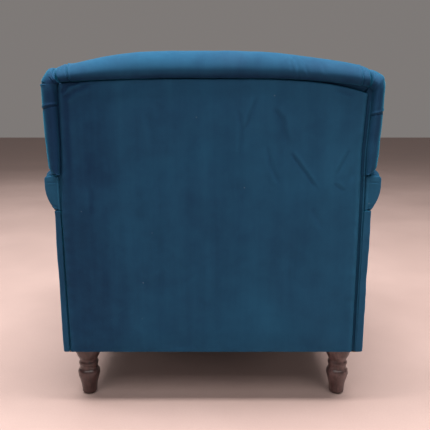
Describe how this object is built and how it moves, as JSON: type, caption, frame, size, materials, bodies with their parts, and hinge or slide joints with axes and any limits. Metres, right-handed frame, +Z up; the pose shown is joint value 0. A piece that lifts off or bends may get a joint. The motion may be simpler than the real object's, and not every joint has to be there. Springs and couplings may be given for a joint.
{
  "type": "upholstered armchair",
  "caption": "Upholstered roll-arm armchair with a leaning padded back, a loose zipped seat cushion, sprung seat and turned wooden legs.",
  "frame": {"origin": "on the floor under the middle of the chair's outline", "axes": "+Z up, the chair faces -Y, +X is the sitter's left"},
  "size_m": [0.88, 0.9002, 0.947],
  "materials": {
    "velvet": "cut velvet pile",
    "dark_wood": "dark walnut stain, satin lacquer",
    "frame_wood": "bare planed hardwood",
    "foam": "open-cell foam in a fibre wrap",
    "lining": "black woven lining",
    "webbing": "woven webbing and felt",
    "steel": "plain zinc-plated steel",
    "nylon": "moulded nylon"
  },
  "bodies": {
    "chair": {"leg_front_left": "dark_wood", "glide_front_left": "nylon", "leg_bolt_front_left": "steel", "corner_block_front_left": "frame_wood", "leg_front_right": "dark_wood", "glide_front_right": "nylon", "leg_bolt_front_right": "steel", "corner_block_front_right": "frame_wood", "leg_back_left": "dark_wood", "glide_back_left": "nylon", "leg_bolt_back_left": "steel", "corner_block_back_left": "frame_wood", "leg_back_right": "dark_wood", "glide_back_right": "nylon", "leg_bolt_back_right": "steel", "corner_block_back_right": "frame_wood", "front_rail": "frame_wood", "back_rail": "frame_wood", "side_rail_left": "frame_wood", "side_rail_right": "frame_wood", "back_post_left": "frame_wood", "back_post_right": "frame_wood", "crest_rail": "frame_wood", "back_lower_rail": "frame_wood", "arm_post_left": "frame_wood", "arm_post_right": "frame_wood", "arm_top_rail_left": "frame_wood", "arm_top_rail_right": "frame_wood", "arm_lower_rail_left": "frame_wood", "arm_lower_rail_right": "frame_wood", "seat_spring_1": "steel", "spring_clip_front_1": "steel", "spring_clip_back_1": "steel", "seat_spring_2": "steel", "spring_clip_front_2": "steel", "spring_clip_back_2": "steel", "seat_spring_3": "steel", "spring_clip_front_3": "steel", "spring_clip_back_3": "steel", "seat_spring_4": "steel", "spring_clip_front_4": "steel", "spring_clip_back_4": "steel", "back_web_lower": "webbing", "back_web_middle": "webbing", "back_web_upper": "webbing", "spring_insulator": "webbing", "deck_pad": "lining", "front_border": "velvet", "dust_cover": "lining", "inside_arm_pad_left": "velvet", "outside_arm_panel_left": "velvet", "arm_facing_left": "velvet", "inside_arm_pad_right": "velvet", "outside_arm_panel_right": "velvet", "arm_facing_right": "velvet", "inside_back_pad": "velvet", "outside_back_panel": "velvet"},
    "cushion": {"cushion_core": "foam", "cushion_cover": "velvet"},
    "zip": {"zip_slider": "steel"}
  },
  "joints": [
    {"name": "cushion_lift", "type": "slide", "parent": "chair", "child": "cushion", "axis": [0, 0, 1], "range_m": [0, 0.36]},
    {"name": "zip_slide", "type": "slide", "parent": "cushion", "child": "zip", "axis": [-1, 0, 0], "range_m": [0, 0.483]}
  ]
}
